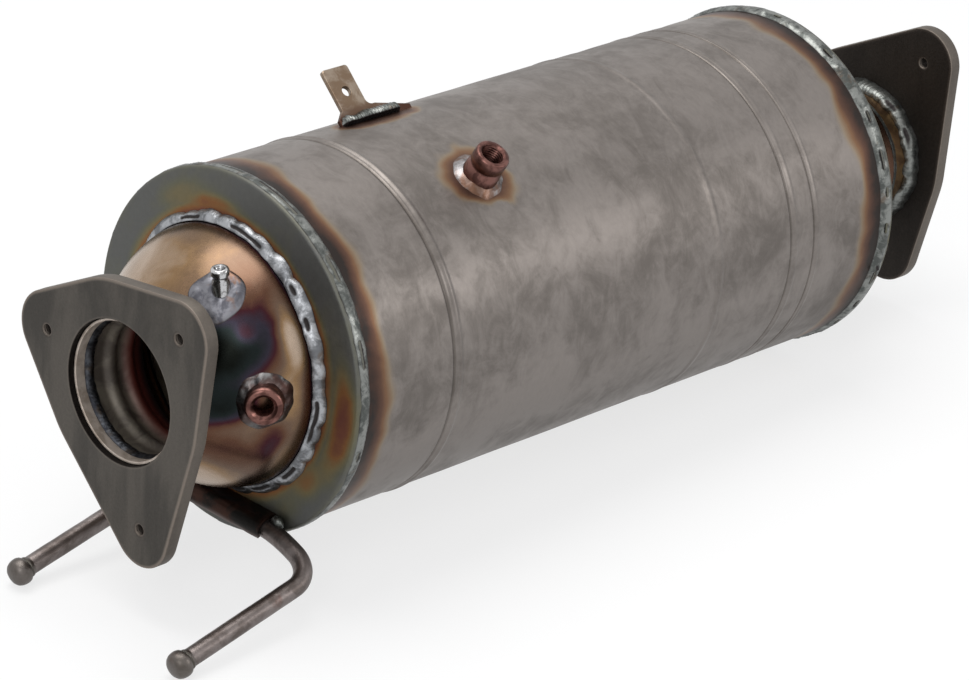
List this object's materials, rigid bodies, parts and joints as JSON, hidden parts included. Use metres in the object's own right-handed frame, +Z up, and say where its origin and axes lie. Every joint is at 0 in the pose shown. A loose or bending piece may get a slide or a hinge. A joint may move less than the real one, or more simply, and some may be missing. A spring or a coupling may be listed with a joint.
{
  "type": "diesel particulate filter",
  "caption": "Welded steel exhaust canister with bell cones, bolt-on flanges, a catalyst and a plugged-channel soot filter inside, sensor bosses, a tab and a rod hanger.",
  "frame": {"origin": "where the canister's axis meets the inlet flange's outer face, 3.3 mm above the pipe's centre", "axes": "+X along the gas flow, from the inlet flange to the outlet flange; +Z up, with the sensor boss above and the rod hanger below"},
  "size_m": [0.6073, 0.196, 0.2381],
  "materials": {
    "flange_steel": "dark scaled steel plate, fine speckle, bare arrises",
    "pipe_steel": "oxidised pipe, tan to red-brown",
    "weld_metal": "rippled blue-grey weld bead with dark pits",
    "heat_tinted_steel": "drawn stainless steel with straw, brown, purple and blue heat tints",
    "cap_steel": "pressed stainless cap, blue-grey with olive and orange heat tints",
    "shell_steel": "matt stainless sheet, mottled grey, brown heat tint at both ends",
    "catalyst_ceramic": "coated ceramic honeycomb",
    "filter_ceramic": "dark silicon carbide honeycomb",
    "mat_fibre": "off-white mineral fibre mat",
    "retainer_wire": "pressed wire mesh",
    "copper_plate": "copper-flashed steel boss, tarnished",
    "bright_steel": "bright turned steel",
    "bracket_steel": "brown-grey oxidised steel"
  },
  "bodies": {
    "root": {"inlet_flange": "flange_steel", "inlet_sleeve": "pipe_steel", "inlet_sleeve_weld": "weld_metal", "inlet_flange_weld": "weld_metal", "inlet_neck": "pipe_steel", "inlet_cone": "heat_tinted_steel", "inlet_cone_weld": "weld_metal", "inlet_end_cap": "cap_steel", "inlet_cap_weld": "weld_metal", "shell": "shell_steel", "oxidation_catalyst": "catalyst_ceramic", "catalyst_mat": "mat_fibre", "filter_monolith": "filter_ceramic", "filter_mat": "mat_fibre", "filter_front_retainer": "retainer_wire", "filter_rear_retainer": "retainer_wire", "shell_sensor_boss": "copper_plate", "shell_boss_weld": "weld_metal", "probe_boss": "copper_plate", "probe_boss_weld": "weld_metal", "pressure_stub": "bright_steel", "stub_weld": "weld_metal", "tab_bracket": "bracket_steel", "tab_weld": "weld_metal", "hanger_rod": "bracket_steel", "hanger_saddle": "bracket_steel", "hanger_weld_left": "weld_metal", "hanger_weld_right": "weld_metal", "outlet_end_cap": "cap_steel", "outlet_cap_weld": "weld_metal", "outlet_cone": "heat_tinted_steel", "outlet_cone_weld": "weld_metal", "outlet_pipe": "pipe_steel", "outlet_pipe_weld": "weld_metal", "outlet_flange_weld": "weld_metal", "outlet_flange": "flange_steel"}
  },
  "joints": []
}
